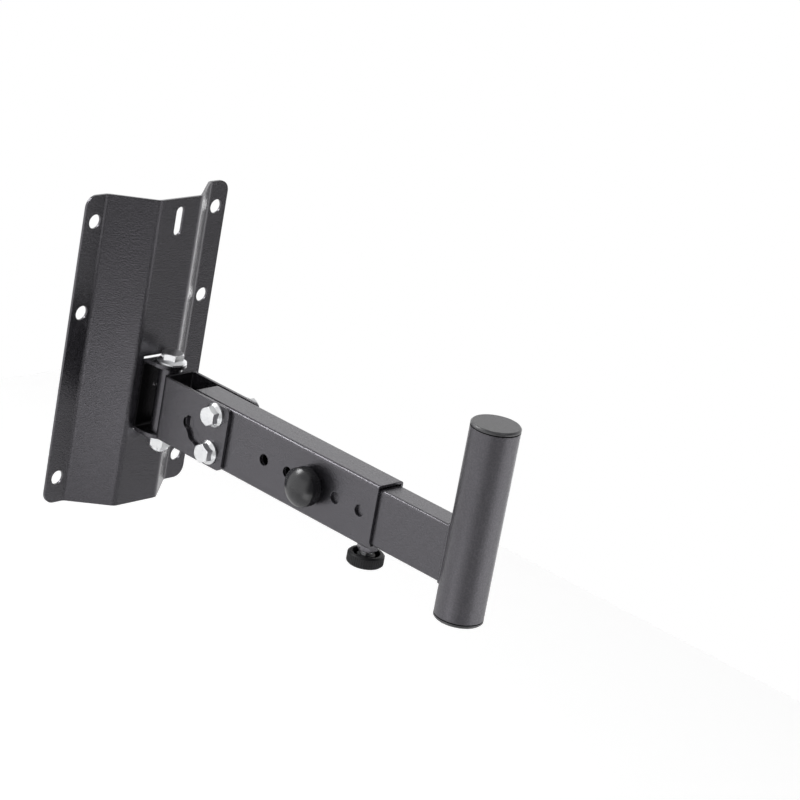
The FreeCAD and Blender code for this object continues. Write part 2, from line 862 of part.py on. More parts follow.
def thumb_screw():
    """The screw that clamps the sliding tube from below: weld nut, stud and hollow disc."""
    y = "thumb_end - %s - %s" % (AXIS, TUBE_END)
    tube_under = ARM_MIDDLE + " - tube_high / 2"
    nut = new_body("thumb_nut", turn_axis=(1, 0, 0), turn=180, y=y, z=tube_under)
    hex_block(nut, "weld_nut_flats", "weld_nut_high")
    sketch = new_sketch(nut, "XY_Plane")
    circle(sketch, "index_across")
    pocket(nut, sketch)
    disc_bottom = "(%s - weld_nut_high - thumb_gap - thumb_high)" % tube_under
    stud_bottom = disc_bottom + " + thumb_bore_floor + end_gap"
    tip = ARM_MIDDLE + " - %s / 2 - thumb_tip_gap" % INNER_HIGH
    stud = new_body("thumb_stud", y=y, z=stud_bottom)
    length = "(%s) - (%s)" % (tip, stud_bottom)
    sketch = new_sketch(stud, "XZ_Plane")
    outline(
        sketch,
        [
            ("0", "0"),
            ("stud_across / 2", "0"),
            ("stud_across / 2", length + " - chamfer"),
            ("stud_across / 2 - chamfer", length),
            ("0", length),
        ],
    )
    revolve(stud, sketch)
    knob = new_body("thumb_knob", y=y, z=disc_bottom)
    sketch = new_sketch(knob, "XZ_Plane")
    rim = "thumb_across / 2"
    bore = "stud_across / 2 + running_fit"
    outline(
        sketch,
        [
            ("0", "0"),
            (rim + " - chamfer", "0"),
            (rim, "chamfer"),
            (rim, "thumb_high - chamfer"),
            (rim + " - chamfer", "thumb_high"),
            (rim + " - thumb_rim", "thumb_high"),
            (rim + " - thumb_rim", "thumb_floor"),
            ("thumb_hub / 2", "thumb_floor"),
            ("thumb_hub / 2", "thumb_hub_high"),
            (bore, "thumb_hub_high"),
            (bore, "thumb_bore_floor"),
            ("0", "thumb_bore_floor"),
        ],
    )
    revolve(knob, sketch)


def check_and_write():
    """Checks every object, then writes each body as a file of its own."""
    doc.recompute()
    for thing in doc.Objects:
        if "Invalid" in thing.State or "Error" in thing.State:
            raise ValueError("%s is %s" % (thing.Label, thing.State))
    bodies = [thing for thing in doc.Objects if thing.TypeId == "PartDesign::Body"]
    for body in bodies:
        if body.Shape.isNull() or not body.Shape.isValid():
            raise ValueError(body.Label + ": no valid shape")
    os.makedirs("parts", exist_ok=True)
    for body in bodies:
        body.Shape.exportStep("parts/%s.step" % body.Label)
        box = body.Shape.BoundBox
        print(
            "%-16s %9.1f mm3  x %7.2f %7.2f  y %8.2f %8.2f  z %7.2f %7.2f"
            % (
                body.Label,
                body.Shape.Volume,
                box.XMin,
                box.XMax,
                box.YMin,
                box.YMax,
                box.ZMin,
                box.ZMax,
            )
        )


fill_sheet()
wall_plate()
hinge_bracket()
swivel_parts()
pivot_barrel()
tilt_channel()
tilt_parts()
outer_tube()
inner_tube()
pole_parts()
lock_screw()
thumb_screw()
check_and_write()
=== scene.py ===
# %% [markdown]
# # A wall bracket for a small speaker
# The real bracket is folded and welded steel under black powder coat, held together by bright
# zinc bolts, with two plastic grips and two plastic caps. The solids come packed from the CAD
# source with every size settled. What is left to do here is finish: the look of each surface,
# and the fine shapes that a CAD model leaves out, such as threads, ribs and weld beads.

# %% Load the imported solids
import json
import math

import bmesh
import bpy
from mathutils import Matrix, Vector


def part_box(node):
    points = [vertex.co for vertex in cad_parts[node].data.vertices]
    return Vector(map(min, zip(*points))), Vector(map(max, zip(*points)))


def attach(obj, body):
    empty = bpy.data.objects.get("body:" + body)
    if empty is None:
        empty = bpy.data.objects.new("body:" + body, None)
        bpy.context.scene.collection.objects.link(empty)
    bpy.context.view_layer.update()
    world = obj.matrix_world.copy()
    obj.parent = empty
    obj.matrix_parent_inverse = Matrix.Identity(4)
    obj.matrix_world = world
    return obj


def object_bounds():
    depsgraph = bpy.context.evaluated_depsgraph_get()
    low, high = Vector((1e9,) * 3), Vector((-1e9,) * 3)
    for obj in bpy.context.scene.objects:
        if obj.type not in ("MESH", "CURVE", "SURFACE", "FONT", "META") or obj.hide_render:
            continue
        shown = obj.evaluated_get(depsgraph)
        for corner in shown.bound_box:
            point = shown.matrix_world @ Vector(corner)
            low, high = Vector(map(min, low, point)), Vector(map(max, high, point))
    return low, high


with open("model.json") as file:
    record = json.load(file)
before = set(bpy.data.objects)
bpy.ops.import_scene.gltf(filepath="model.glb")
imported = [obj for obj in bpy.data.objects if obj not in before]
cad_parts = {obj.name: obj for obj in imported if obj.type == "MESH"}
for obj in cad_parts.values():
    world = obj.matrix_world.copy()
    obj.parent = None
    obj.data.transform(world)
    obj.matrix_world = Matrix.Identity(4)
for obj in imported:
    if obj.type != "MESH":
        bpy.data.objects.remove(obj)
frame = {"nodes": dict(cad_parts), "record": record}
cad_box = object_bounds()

nodes = frame["nodes"]

# %% [markdown]
# ## The camera
# A product photographer stood about two and a half metres off with a long lens, to the left of
# the arm and a little above it, and the picture is turned by about ten degrees. The angles
# below were fitted to points of the picture: azimuth and elevation say where the camera
# stands, and roll turns it about its own line of sight. The long lens keeps the perspective as
# flat as it was.

# %% Stand the camera
CAMERA_AZIMUTH = math.radians(-50.03)
CAMERA_ELEVATION = math.radians(19.78)
CAMERA_ROLL = math.radians(-10.57)
CAMERA_DISTANCE = 2.56502
CAMERA_TARGET = Vector((0.31334, 0.0, -0.09417))
FOCAL_PIXELS = 3109.9
IMAGE_PIXELS = 800
SENSOR_MM = 36.0
NEAREST, FARTHEST = 0.05, 50.0

back = Vector(
    (
        math.sin(CAMERA_AZIMUTH) * math.cos(CAMERA_ELEVATION),
        -math.cos(CAMERA_AZIMUTH) * math.cos(CAMERA_ELEVATION),
        math.sin(CAMERA_ELEVATION),
    )
)
level_right = (-back).cross(Vector((0, 0, 1))).normalized()
level_up = level_right.cross(-back)
right = math.cos(CAMERA_ROLL) * level_right - math.sin(CAMERA_ROLL) * level_up
up = math.sin(CAMERA_ROLL) * level_right + math.cos(CAMERA_ROLL) * level_up

lens = bpy.data.cameras.new("long_lens")
lens.lens = FOCAL_PIXELS / IMAGE_PIXELS * SENSOR_MM
lens.sensor_width = SENSOR_MM
lens.clip_start = NEAREST
lens.clip_end = FARTHEST
camera = bpy.data.objects.new("camera", lens)
bpy.context.scene.collection.objects.link(camera)
camera.matrix_world = Matrix.Translation(CAMERA_TARGET + CAMERA_DISTANCE * back) @ (
    Matrix((right, up, back)).transposed().to_4x4()
)
bpy.context.scene.camera = camera
print("camera at", [round(c, 3) for c in camera.matrix_world.translation])

# %% [markdown]
# ## Sums of sockets
# A finish is mostly arithmetic on noise: a bit of grain plus a bit of cloud, and painted shade
# where two pieces meet. Joining Math nodes by hand hides that. So one small class wraps a
# socket and gives it the usual operators, and one method makes every other node from its type,
# its settings and the values or links of its sockets. The same two classes serve shaders and
# Geometry Nodes.

# %% A socket that takes part in sums
class Sock:
    """An output socket in a node tree."""

    def __init__(self, graph, socket):
        self.graph = graph
        self.socket = socket

    def math(self, operation, *values):
        inputs = dict(enumerate(values))
        return self.graph.node("ShaderNodeMath", {"operation": operation}, inputs)

    def __add__(self, other):
        return self.math("ADD", self, other)

    def __radd__(self, other):
        return self.math("ADD", other, self)

    def __sub__(self, other):
        return self.math("SUBTRACT", self, other)

    def __rsub__(self, other):
        return self.math("SUBTRACT", other, self)

    def __mul__(self, other):
        return self.math("MULTIPLY", self, other)

    def __rmul__(self, other):
        return self.math("MULTIPLY", other, self)

    def __truediv__(self, other):
        return self.math("DIVIDE", self, other)

    def sine(self):
        return self.math("SINE", self)

    def near(self, value, reach):
        """1 within reach of a value and 0 from twice the reach away."""
        away = self - value
        return 1.0 - away.math("ABSOLUTE", away).step(reach, 2 * reach)

    def step(self, low, high):
        """0 below low and 1 above high, with an even slope between."""
        settings = {"clamp": True}
        inputs = {"Value": self, "From Min": low, "From Max": high}
        return self.graph.node("ShaderNodeMapRange", settings, inputs)

    def spread(self):
        """Noise keeps near 0.5. This stretches it over the whole of 0 to 1."""
        return self.step(0.3, 0.7)


class Graph:
    """A node tree that makes its nodes through one method."""

    def __init__(self, tree):
        self.tree = tree

    def node(self, kind, settings=None, inputs=None, output=0):
        made = self.tree.nodes.new(kind)
        for name, value in (settings or {}).items():
            setattr(made, name, value)
        for name, value in (inputs or {}).items():
            socket = made.inputs[name]
            if isinstance(value, Sock):
                self.tree.links.new(value.socket, socket)
            else:
                socket.default_value = value
        return Sock(self, made.outputs[output])


# %% [markdown]
# ## A finish and its noises
# Each finish starts from a Principled shader. Patterns are read from Object coordinates, in
# metres, and every node of the bracket sits at the origin, so one grain runs on over all the
# steel at one scale, as it does when the welded parts are sprayed together.


# %% Start a finish
ROUND_SAMPLES = 6


def rgb(*colour):
    return (*colour, 1.0)


# The black of painted shade, used where a gap or hollow should lie in shade.
PAINTED_SHADE_DARK = rgb(0.002, 0.002, 0.002)


class Finish(Graph):
    """A material with one Principled shader and the noises that feed it."""

    def __init__(self, name, **constants):
        self.material = bpy.data.materials.new(name)
        self.material.use_nodes = True
        super().__init__(self.material.node_tree)
        self.shader = self.tree.nodes["Principled BSDF"]
        for socket, value in constants.items():
            self.shader.inputs[socket.replace("_", " ")].default_value = value
        self.place = self.node("ShaderNodeTexCoord", output="Object")

    def noise(self, scale, detail=2.0, rough=0.5, stretch=(1, 1, 1)):
        """Smooth noise of about 1 / scale metres a patch, from 0 to 1."""
        settings = {"operation": "MULTIPLY"}
        at = self.node("ShaderNodeVectorMath", settings, {0: self.place, 1: stretch})
        inputs = {"Vector": at, "Scale": scale, "Detail": detail, "Roughness": rough}
        return self.node("ShaderNodeTexNoise", {"normalize": True}, inputs)

    def mix(self, share, first, second):
        inputs = {0: share, 6: first, 7: second}
        return self.node("ShaderNodeMix", {"data_type": "RGBA"}, inputs, output=2)

    def drive(self, **sockets):
        for name, value in sockets.items():
            self.tree.links.new(value.socket, self.shader.inputs[name.replace("_", " ")])

    def cover(self, mask, other):
        """Shows another shader at the masked places."""
        own = Sock(self, self.shader.outputs["BSDF"])
        both = self.node("ShaderNodeMixShader", None, {0: mask, 1: own, 2: other})
        self.tree.links.new(both.socket, self.tree.nodes["Material Output"].inputs["Surface"])

    def shadow(self, mask):
        """Paints shade on the masked places: the dark that a narrow gap holds."""
        self.cover(mask, self.node("ShaderNodeBsdfDiffuse", None, {"Color": PAINTED_SHADE_DARK}))

    def bump(self, height, depth, strength, edge):
        """Grain on a surface whose sharp edges look rounded by the given radius."""
        rounded = self.node("ShaderNodeBevel", {"samples": ROUND_SAMPLES}, {"Radius": edge})
        inputs = {"Height": height, "Distance": depth, "Strength": strength, "Normal": rounded}
        self.drive(Normal=self.node("ShaderNodeBump", None, inputs))


# %% [markdown]
# ## Black powder coat
# The powder melts on the hot steel into a skin with a fine even grain, a little glossy on top
# of each grain and matt between. Nearly all that the eye sees of it is gloss: the coat itself
# is close to black, and the blue-grey of a face is the room in it. So the pigment stays very
# dark, and the grain works on the bump and the roughness, with a broad noise that lets the
# coat vary from one place to the next. Noise scales are in patches to the metre.

# %% Powder coat
COAT_DARK = rgb(0.0010, 0.0010, 0.0012)
COAT_LIGHT = rgb(0.0290, 0.0280, 0.0330)
COAT_TINT = rgb(0.95, 0.92, 1.0)
COAT_IOR = 1.6
COAT_ROUGH = 0.17
POLE_ROUGH = 0.28
CLOUD_ROUGH, VALLEY_ROUGH = 0.05, 0.07
COAT_EDGE = 0.0007
COAT_DEPTH = 0.00032
COAT_RELIEF = 0.7
COAT_GRAINS = 820.0
COAT_SPECKS = 2600.0
COAT_CLOUDS = 22.0
PEAK_FOOT, PEAK_TOP = 0.42, 0.62


def powder_coat(name, roughness):
    coat = Finish(name, IOR=COAT_IOR, Specular_IOR_Level=1.0, Specular_Tint=COAT_TINT)
    grain = coat.noise(COAT_GRAINS, detail=2.0, rough=0.6)
    fine = coat.noise(COAT_SPECKS, detail=1.0)
    cloud = coat.noise(COAT_CLOUDS, detail=3.0)
    peaks = grain.step(PEAK_FOOT, PEAK_TOP)
    shade = 0.75 * peaks + 0.25 * cloud.spread()
    coat.drive(Base_Color=coat.mix(shade, COAT_DARK, COAT_LIGHT))
    coat.drive(Roughness=roughness + CLOUD_ROUGH * cloud + VALLEY_ROUGH * (1.0 - peaks))
    coat.bump(0.7 * grain + 0.3 * fine, COAT_DEPTH, COAT_RELIEF, COAT_EDGE)
    return coat


# %% [markdown]
# ## Painted shade in the hinge's cavity
# Between the ears of the hinge bracket little light gets in and none comes back out, and that
# shade is painted into the coat: it goes over into painted black shade from the ears' inner
# faces, where they stand free, to the web at their root. The painted shade is placed by height
# and depth, because both follow from the bracket's own box. The outer faces of the ears keep
# the plain coat, but the web's back, which shows in the plate's window from behind, gets the
# same painted shade as its front.

# %% Painted shade at the root of the hinge
EAR_SHEET = 0.003
INSIDE_EDGE, INSIDE_FULL = EAR_SHEET - 0.0003, EAR_SHEET - 0.0001
PAINTED_SHADE_STARTS, PAINTED_SHADE_FULL = 0.018, 0.005
PAINTED_SHADE_STRENGTH = 0.85
hinge_low, hinge_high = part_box("hinge_bracket")


def hinge_coat():
    coat = powder_coat("hinge_coat", COAT_ROUGH)
    depth = coat.node("ShaderNodeSeparateXYZ", None, {"Vector": coat.place}, output="Y")
    height = coat.node("ShaderNodeSeparateXYZ", None, {"Vector": coat.place}, output="Z")
    under_top = (hinge_high[2] - height).step(INSIDE_EDGE, INSIDE_FULL)
    over_bottom = (height - hinge_low[2]).step(INSIDE_EDGE, INSIDE_FULL)
    # Painted shade: dark from the web's depth outwards, only between the ears' inner faces.
    root = depth.step(hinge_high[1] - PAINTED_SHADE_STARTS, hinge_high[1] - PAINTED_SHADE_FULL)
    coat.shadow(PAINTED_SHADE_STRENGTH * root * under_top * over_bottom)
    return coat.material


# %% [markdown]
# ## Bright zinc
# The bolts, nuts and washer are plated: a bright, faintly blue metal with fine marks from the
# tumbling barrel. Metal shows what stands round it, so most of its look comes from the white
# room, and its colour and roughness only have to vary a little.

# %% Zinc
ZINC_DARK = rgb(0.78, 0.79, 0.81)
ZINC_LIGHT = rgb(0.94, 0.945, 0.95)
ZINC_ROUGH = 0.20
ZINC_CLOUD_ROUGH, ZINC_MARK_ROUGH = 0.16, 0.06
ZINC_MARKS = 650.0
ZINC_CLOUDS = 140.0
ZINC_DEPTH = 0.00012
ZINC_RELIEF = 0.3
ZINC_EDGE = 0.0003


def zinc():
    plate = Finish("zinc", Metallic=1.0)
    marks = plate.noise(ZINC_MARKS, detail=4.0, rough=0.65)
    cloud = plate.noise(ZINC_CLOUDS, detail=2.0)
    shade = 0.5 * marks.spread() + 0.5 * cloud.spread()
    plate.drive(Base_Color=plate.mix(shade, ZINC_DARK, ZINC_LIGHT))
    plate.drive(Roughness=ZINC_ROUGH + ZINC_CLOUD_ROUGH * cloud + ZINC_MARK_ROUGH * marks)
    plate.bump(marks, ZINC_DEPTH, ZINC_RELIEF, ZINC_EDGE)
    return plate.material


# %% [markdown]
# ## Three plastics
# The side knob is moulded glossy, the pole's caps are satin, and the thumb grip is matt. All
# three are black polymer with the faint ripple of a mould's wall, so one function makes them
# from a row of values each: roughness, shine, depth of the grain, and two shades of black.

# %% Moulded black plastic
PLASTICS = {
    "cap_plastic": (0.30, 0.8, 0.00030, rgb(0.012, 0.012, 0.014), rgb(0.056, 0.055, 0.062)),
    "knob_plastic": (0.20, 0.6, 0.00004, rgb(0.008, 0.008, 0.010), rgb(0.018, 0.018, 0.021)),
    "thumb_plastic": (0.45, 0.3, 0.00020, rgb(0.006, 0.006, 0.007), rgb(0.016, 0.016, 0.018)),
}
PLASTIC_IOR = 1.55
PLASTIC_GRAINS = 1500.0
PLASTIC_FLOWS = 90.0
PLASTIC_RELIEF = 0.5
PLASTIC_EDGE = 0.0005
FLOW_ROUGH, GRAIN_ROUGH = 0.08, 0.05


def moulded(name):
    roughness, shine, grain_depth, dark, light = PLASTICS[name]
    skin = Finish(name, IOR=PLASTIC_IOR, Specular_IOR_Level=shine)
    grain = skin.noise(PLASTIC_GRAINS, detail=2.0)
    flow = skin.noise(PLASTIC_FLOWS, detail=2.0, stretch=(1.0, 1.0, 0.4))
    shade = 0.5 * grain.spread() + 0.5 * flow.spread()
    skin.drive(Base_Color=skin.mix(shade, dark, light))
    skin.drive(Roughness=roughness + FLOW_ROUGH * flow + GRAIN_ROUGH * grain)
    skin.bump(0.8 * grain + 0.2 * flow, grain_depth, PLASTIC_RELIEF, PLASTIC_EDGE)
    return skin


# %% [markdown]
# ## Painted shade in the gap under each cap
# A cap is a plug whose head sits on the pole's end like a lid, and the narrow gap between the
# two lies in shade as a dark hairline. It could be cut as a groove, but painted shade does it
# with no corners at all: the cap is painted dark at the height where it meets the pole.

# %% A painted shade line at both ends of the pole
HAIRLINE = 0.0003
pole_ends = [corner[2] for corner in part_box("pole_tube")]


def cap_plastic():
    skin = moulded("cap_plastic")
    height = skin.node("ShaderNodeSeparateXYZ", None, {"Vector": skin.place}, output="Z")
    below = height.near(pole_ends[0] - HAIRLINE, HAIRLINE)
    above = height.near(pole_ends[1] + HAIRLINE, HAIRLINE)
    # Painted shade: a dark hairline where each cap meets the pole.
    skin.shadow(below + above)
    return skin.material


# %% [markdown]
# ## Dressing the solids
# Every solid names its material slot in the record, so a loop can dress them all. Two pieces
# get a coat of their own: the pole, whose coat is a little duller, and the hinge bracket with
# painted shade at its root.

# %% Dress the solids
finishes = {
    "powder_coat": powder_coat("powder_coat", COAT_ROUGH).material,
    "zinc": zinc(),
    "cap_plastic": cap_plastic(),
    "knob_plastic": moulded("knob_plastic").material,
    "thumb_plastic": moulded("thumb_plastic").material,
}
own_finishes = {
    "pole_tube": powder_coat("pole_coat", POLE_ROUGH).material,
    "hinge_bracket": hinge_coat(),
}
for part in frame["record"]["subparts"]:
    solid = nodes[part["node"]]
    finish = own_finishes.get(part["node"], finishes[part["material_slot"]])
    solid.data.materials.clear()
    solid.data.materials.append(finish)
    print(part["node"], "wears", finish.name)

# %% [markdown]
# ## Recipes for shapes that repeat
# A thread, a ring of ribs and a weld bead all follow a rule, and Geometry Nodes hold such a
# rule better than a list of corners does. Each tree below has named sizes, so one recipe makes
# many pieces. Its end makes the instances real, because an exporter drops them, and paints the
# mesh. The result is taken off as plain mesh, turned to its place, and rides on its body.


# %% A recipe with named sizes
SAME_PLACE = 1e-6


def add_piece(name, mesh, body):
    """Links a finished mesh whose place is already in its corners."""
    work = bmesh.new()
    work.from_mesh(mesh)
    bmesh.ops.remove_doubles(work, verts=work.verts, dist=SAME_PLACE)
    bmesh.ops.recalc_face_normals(work, faces=work.faces)
    work.to_mesh(mesh)
    work.free()
    piece = bpy.data.objects.new(name, mesh)
    bpy.context.scene.collection.objects.link(piece)
    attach(piece, body)
    print(name, "rides", body, "faces", len(mesh.polygons))


class Recipe(Graph):
    """A Geometry Nodes tree with named sizes that ends in real, painted mesh."""

    def __init__(self, name, **sizes):
        super().__init__(bpy.data.node_groups.new(name, "GeometryNodeTree"))
        self.keys = {}
        self.add_input("Path", "NodeSocketGeometry")
        self.add_input("Finish", "NodeSocketMaterial")
        for label, value in sizes.items():
            kind = "NodeSocketInt" if isinstance(value, int) else "NodeSocketFloat"
            self.add_input(label, kind).default_value = value
        self.entry = self.tree.nodes.new("NodeGroupInput")

    def add_input(self, label, kind):
        made = self.tree.interface.new_socket(label, in_out="INPUT", socket_type=kind)
        self.keys[label] = made.identifier
        return made

    def size(self, label):
        return Sock(self, self.entry.outputs[label])

    def end(self, shape):
        real = self.node("GeometryNodeRealizeInstances", None, {"Geometry": shape})
        paint = {"Geometry": real, "Material": self.size("Finish")}
        painted = self.node("GeometryNodeSetMaterial", None, paint)
        self.tree.interface.new_socket(
            "Mesh", in_out="OUTPUT", socket_type="NodeSocketGeometry"
        )
        self.tree.links.new(painted.socket, self.tree.nodes.new("NodeGroupOutput").inputs[0])

    def make(self, name, body, slot, place, path=None, **sizes):
        base = path or bpy.data.meshes.new(name + "_start")
        holder = bpy.data.objects.new(name + "_start", base)
        bpy.context.scene.collection.objects.link(holder)
        modifier = holder.modifiers.new("recipe", "NODES")
        modifier.node_group = self.tree
        modifier[self.keys["Finish"]] = finishes[slot]
        for label, value in sizes.items():
            modifier[self.keys[label]] = value
        ready = holder.evaluated_get(bpy.context.evaluated_depsgraph_get())
        mesh = bpy.data.meshes.new_from_object(ready)
        bpy.data.objects.remove(holder)
        mesh.name = name
        mesh.transform(place)
        add_piece(name, mesh, body)


def middle(node):
    low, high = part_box(node)
    return (Vector(low) + Vector(high)) / 2


# %% [markdown]
# ## Threads
# A screw's thread is one ridge wound round the shank. A spiral curve is the path, and a small
# diamond carried along it is the ridge. It fades out at both ends, as a rolled thread does. A
# bump could draw it too, but a thread shows in its outline, so it is mesh. Only the parts that
# can be seen get one: the two studs and the bolt ends that stand out of a nut. Each starts a
# little inside the piece that it comes out of. The side screw's thread goes into the tube's
# hole as the knob turns, so it is the least proud.

# %% A recipe for a thread
TURN_STEPS = 28
FADE = 0.12
RIDGE = 0.0005
M8_RADIUS, M8_PITCH = 0.004, 0.00125
M10_RADIUS, M10_PITCH = 0.005, 0.0015
thread = Recipe("thread", Radius=M8_RADIUS, Pitch=M8_PITCH, Turns=3.0, Ridge=RIDGE)
spiral = thread.node(
    "GeometryNodeCurveSpiral",
    None,
    {
        "Resolution": TURN_STEPS,
        "Rotations": thread.size("Turns"),
        "Start Radius": thread.size("Radius"),
        "End Radius": thread.size("Radius"),
        "Height": thread.size("Turns") * thread.size("Pitch"),
    },
)
upright = thread.node("GeometryNodeSetCurveNormal", {"mode": "Z_UP"}, {"Curve": spiral})
diamond = thread.node(
    "GeometryNodeCurvePrimitiveCircle", None, {"Resolution": 4, "Radius": thread.size("Ridge")}
)
along = thread.node("GeometryNodeSplineParameter")
fade = along.step(0.0, FADE) * (1.0 - along).step(0.0, FADE)
ridge = {"Curve": upright, "Profile Curve": diamond, "Scale": fade, "Fill Caps": True}
thread.end(thread.node("GeometryNodeCurveToMesh", None, ridge))

# %% Wind the threads
PROUD = 0.00025
HOLE_PROUD = 0.00012
IN_TUBE, IN_THUMB_NUT, IN_NUT = 0.0002, 0.0003, 0.0004
THUMB_THREAD = 0.0038
BOLT_THREAD = 0.0022
TO_LEFT = Matrix.Rotation(math.radians(-90), 4, "Y")
TO_RIGHT = Matrix.Rotation(math.radians(90), 4, "Y")
DOWN = Matrix.Rotation(math.radians(180), 4, "X")


def thread_end(
    name, body, start, turn, length, radius=M8_RADIUS, pitch=M8_PITCH, proud=PROUD
):
    """A thread a little proud of its shank, along the axis that turn gives local Z."""
    thread.make(
        name,
        body,
        "zinc",
        Matrix.Translation(start) @ turn,
        Radius=radius + proud - RIDGE,
        Pitch=pitch,
        Turns=length / pitch,
    )


stud = middle("lock_stud")
tube_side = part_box("outer_tube")[0][0]
knob_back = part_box("lock_knob")[1][0]
start = (tube_side + IN_TUBE, stud.y, stud.z)
reach = tube_side - knob_back
thread_end("lock_stud_thread", "lock_screw", start, TO_LEFT, reach, proud=HOLE_PROUD)
stud = middle("thumb_stud")
start = (stud.x, stud.y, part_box("thumb_nut")[0][2] + IN_THUMB_NUT)
thread_end("thumb_stud_thread", "thumb_screw", start, DOWN, THUMB_THREAD)
bolt = middle("swivel_bolt")
start = (bolt.x, bolt.y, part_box("swivel_nut")[0][2] + IN_NUT)
thread_end("swivel_bolt_thread", "base", start, DOWN, BOLT_THREAD, M10_RADIUS, M10_PITCH)
for name, body in (("tilt_pivot", "yoke"), ("tilt_lock", "arm")):
    bolt = middle(name + "_bolt")
    start = (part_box(name + "_nut")[1][0] - IN_NUT, bolt.y, bolt.z)
    thread_end(name + "_thread", body, start, TO_RIGHT, BOLT_THREAD)

# %% [markdown]
# ## Ribs for the fingers
# The side knob's skirt and the thumb screw's disc both have a ring of about fifty fine ribs,
# moulded as shallow round strips. They could be modelled one by one, but a rule is shorter:
# one rib, a thin rod that stands out of the rim by a little less than half, is set on each
# corner of a circle.

# %% A recipe for ribs
RIB_SIDES = 8
grip = Recipe("grip_ribs", Radius=0.014, Count=50, Long=0.0078, Thick=0.0004)
rim = {"Vertices": grip.size("Count"), "Radius": grip.size("Radius")}
rim_corners = grip.node("GeometryNodeMeshCircle", None, rim)
rod = {
    "Vertices": RIB_SIDES,
    "Side Segments": 1,
    "Radius": grip.size("Thick"),
    "Depth": grip.size("Long"),
}
rib = grip.node("GeometryNodeMeshCylinder", None, rod)
ribs = {"Points": rim_corners, "Instance": rib}
grip.end(grip.node("GeometryNodeInstanceOnPoints", None, ribs))

# %% Set the ribs
KNOB_RIBS, DISC_RIBS = 50, 48
KNOB_RIB, DISC_RIB = 0.00045, 0.0005
KNOB_SUNK, DISC_SUNK = 0.0001, 0.0002
SKIRT = 0.008
SKIRT_SPARE, DISC_SPARE = 0.0004, 0.0022
knob = middle("lock_knob")
knob_low, knob_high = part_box("lock_knob")
grip.make(
    "lock_knob_ribs",
    "lock_grip",
    "knob_plastic",
    Matrix.Translation((knob_high[0] - SKIRT / 2, knob.y, knob.z)) @ TO_LEFT,
    Radius=(knob_high[1] - knob_low[1]) / 2 - KNOB_SUNK,
    Count=KNOB_RIBS,
    Long=SKIRT - SKIRT_SPARE,
    Thick=KNOB_RIB,
)
disc_low, disc_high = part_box("thumb_knob")
grip.make(
    "thumb_knob_ribs",
    "thumb_grip",
    "thumb_plastic",
    Matrix.Translation(middle("thumb_knob")),
    Radius=(disc_high[0] - disc_low[0]) / 2 - DISC_SUNK,
    Count=DISC_RIBS,
    Long=disc_high[2] - disc_low[2] - DISC_SPARE,
    Thick=DISC_RIB,
)

# %% [markdown]
# ## Weld beads
# Three joints are welded: the sliding tube round the pole, the barrel on the channel, and the
# hinge's web in the plate's window, from behind. A bead is a rod that swells a little at every
# dab of the welder's torch, so its width is a sine of the distance along the path. A bead that
# ends tapers off there, and the one that closes round the tube doesn't.

# %% A recipe for a bead
BEAD_STEP = 0.0004
BEAD_SIDES = 10
TAPER = 0.06
bead = Recipe("weld_bead", Width=0.001, Dab=0.0016, Swell=0.16, Ends=1.0)
route = bead.node("GeometryNodeMeshToCurve", None, {"Mesh": bead.size("Path")})
evenly = {"Curve": route, "Length": BEAD_STEP}
even = bead.node("GeometryNodeResampleCurve", {"mode": "LENGTH"}, evenly)
dab = bead.node("GeometryNodeSplineParameter", output="Length") / bead.size("Dab")
swell = 1.0 + bead.size("Swell") * (2 * math.pi * dab).sine()
share = bead.node("GeometryNodeSplineParameter")
tail = share.step(0.0, TAPER) * (1.0 - share).step(0.0, TAPER)
open_ends = 1.0 - bead.size("Ends") * (1.0 - tail)
circle = {"Resolution": BEAD_SIDES, "Radius": bead.size("Width")}
round_section = bead.node("GeometryNodeCurvePrimitiveCircle", None, circle)
sweep = {
    "Curve": even,
    "Profile Curve": round_section,
    "Scale": swell * open_ends,
    "Fill Caps": True,
}
bead.end(bead.node("GeometryNodeCurveToMesh", None, sweep))

# %% [markdown]
# ## Where the beads run
# A bead's path is a mesh of edges only. The barrel's bead is two straight stitches, and the
# hinge's follows the gap of half a millimetre on both sides of the web. The pole's bead goes
# round the sliding tube, whose section has round corners, and every corner of it is pushed
# along the tube until it meets the round pole, so the path is a saddle.


# %% Paths of edges
SIDE_STEP = 0.0015


def path_mesh(name, lines, closed=False):
    """Lines of corners as a mesh of edges only."""
    corners, edges = [], []
    for line in lines:
        first = len(corners)
        corners += line
        edges += [(first + k, first + k + 1) for k in range(len(line) - 1)]
        if closed:
            edges.append((len(corners) - 1, first))
    mesh = bpy.data.meshes.new(name)
    mesh.from_pydata(corners, edges, [])
    return mesh


def rounded_box(half_wide, half_high, corner, steps):
    """Corners of a box section with round corners and divided sides."""
    points = []
    for quarter, (side, up) in enumerate(((1, 1), (-1, 1), (-1, -1), (1, -1))):
        for k in range(steps + 1):
            angle = math.pi / 2 * (quarter + k / steps)
            centre_x = side * (half_wide - corner)
            centre_z = up * (half_high - corner)
            points.append(
                (centre_x + corner * math.cos(angle), centre_z + corner * math.sin(angle))
            )
    divided = []
    for k, (x, z) in enumerate(points):
        next_x, next_z = points[(k + 1) % len(points)]
        parts = max(1, round(math.hypot(next_x - x, next_z - z) / SIDE_STEP))
        divided += [
            (x + (next_x - x) * n / parts, z + (next_z - z) * n / parts) for n in range(parts)
        ]
    return divided


